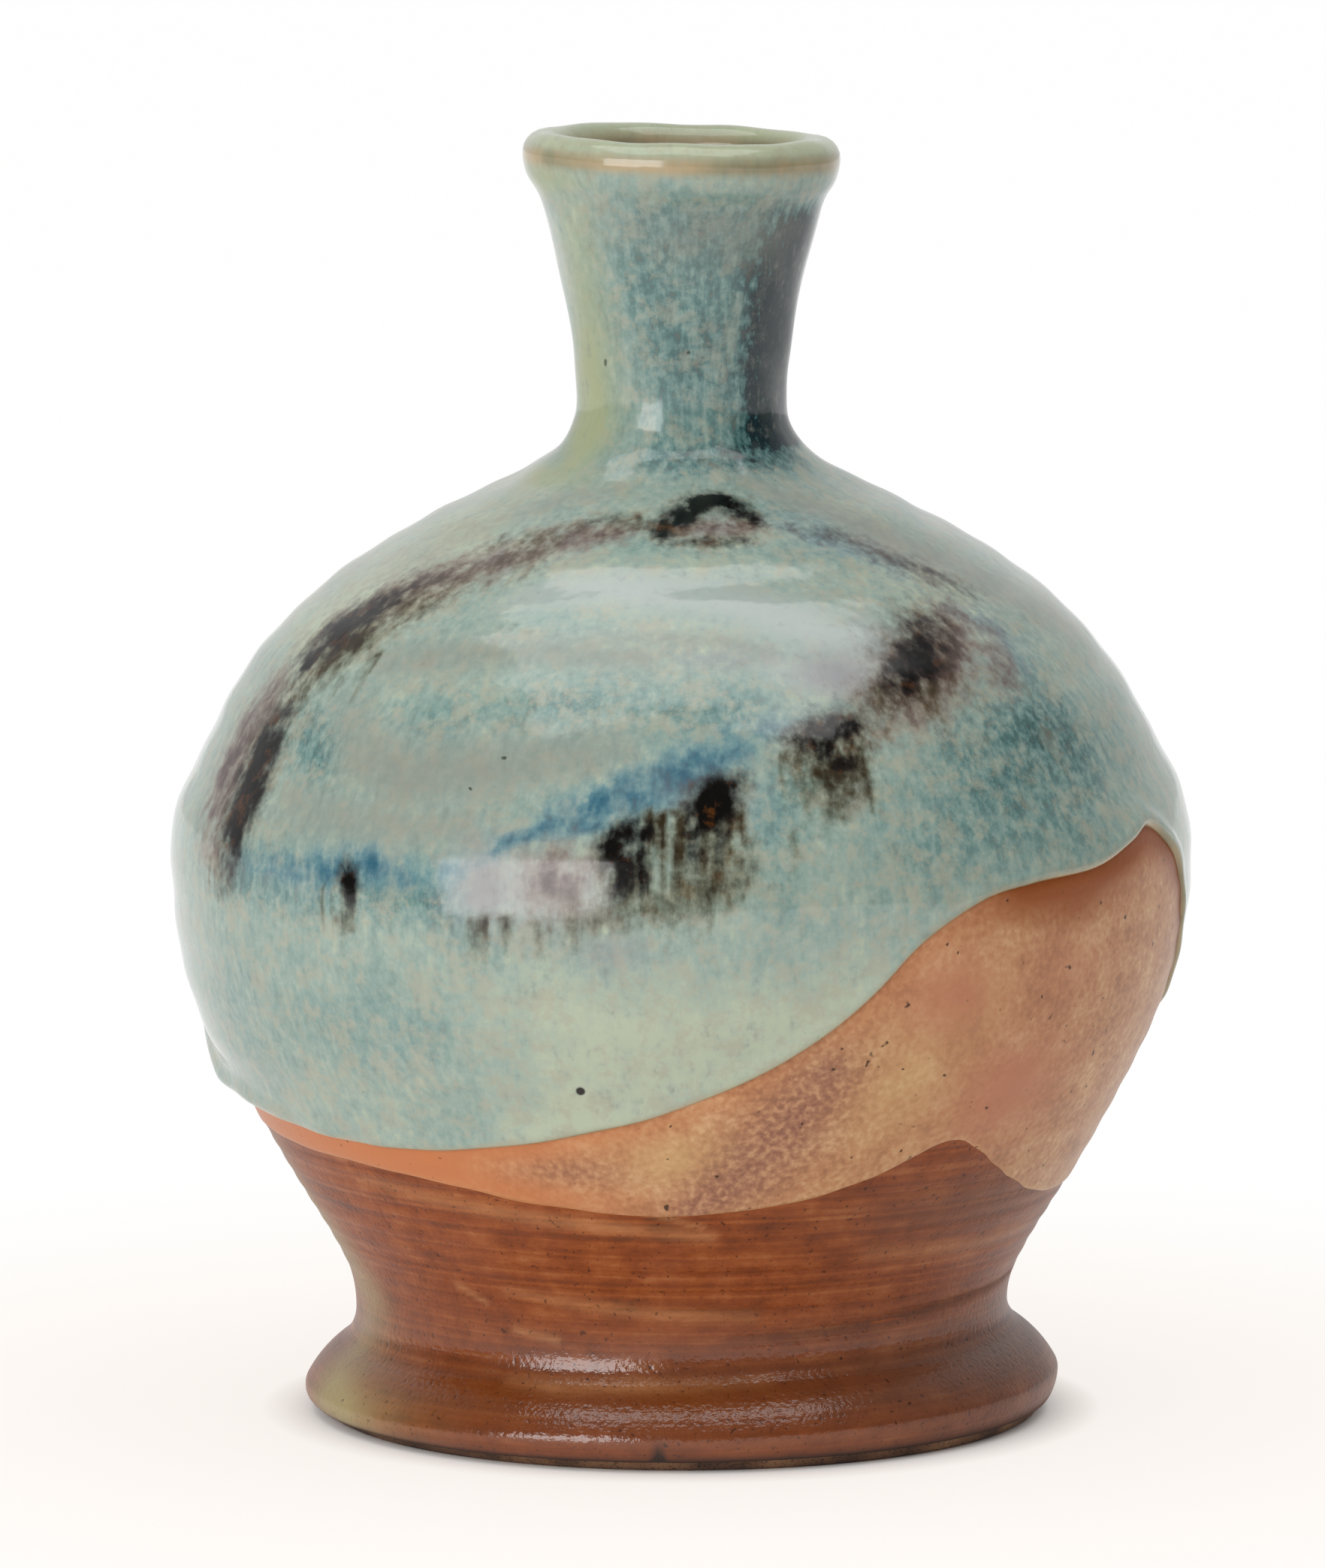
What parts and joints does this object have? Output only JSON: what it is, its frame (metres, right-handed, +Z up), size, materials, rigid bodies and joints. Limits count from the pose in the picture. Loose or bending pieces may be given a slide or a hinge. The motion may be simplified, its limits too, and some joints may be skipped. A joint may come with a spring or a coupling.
{
  "type": "bottle vase",
  "caption": "Thrown stoneware bottle vase with a flared foot, a squat round belly and a narrow neck with a rolled lip, dipped in overlapping glazes.",
  "frame": {"origin": "centre of the ring that the foot stands on, at the ground", "axes": "+Z up along the axis that the vase was thrown on, and -Y towards the viewer of the front"},
  "size_m": [0.135, 0.135, 0.17],
  "materials": {
    "stoneware": "bare fired stoneware, matt and slightly gritty",
    "liner_glaze": "thin glossy liner glaze",
    "amber_glaze": "glossy amber brown glaze over brown clay",
    "tan_glaze": "satin, mottled tan glaze",
    "celadon_glaze": "thick glossy celadon glaze with run oxide brushwork"
  },
  "bodies": {
    "root": {"foot": "stoneware", "body": "stoneware", "neck": "stoneware", "liner_glaze": "liner_glaze", "amber_glaze": "amber_glaze", "tan_glaze": "tan_glaze", "celadon_glaze": "celadon_glaze"}
  },
  "joints": []
}
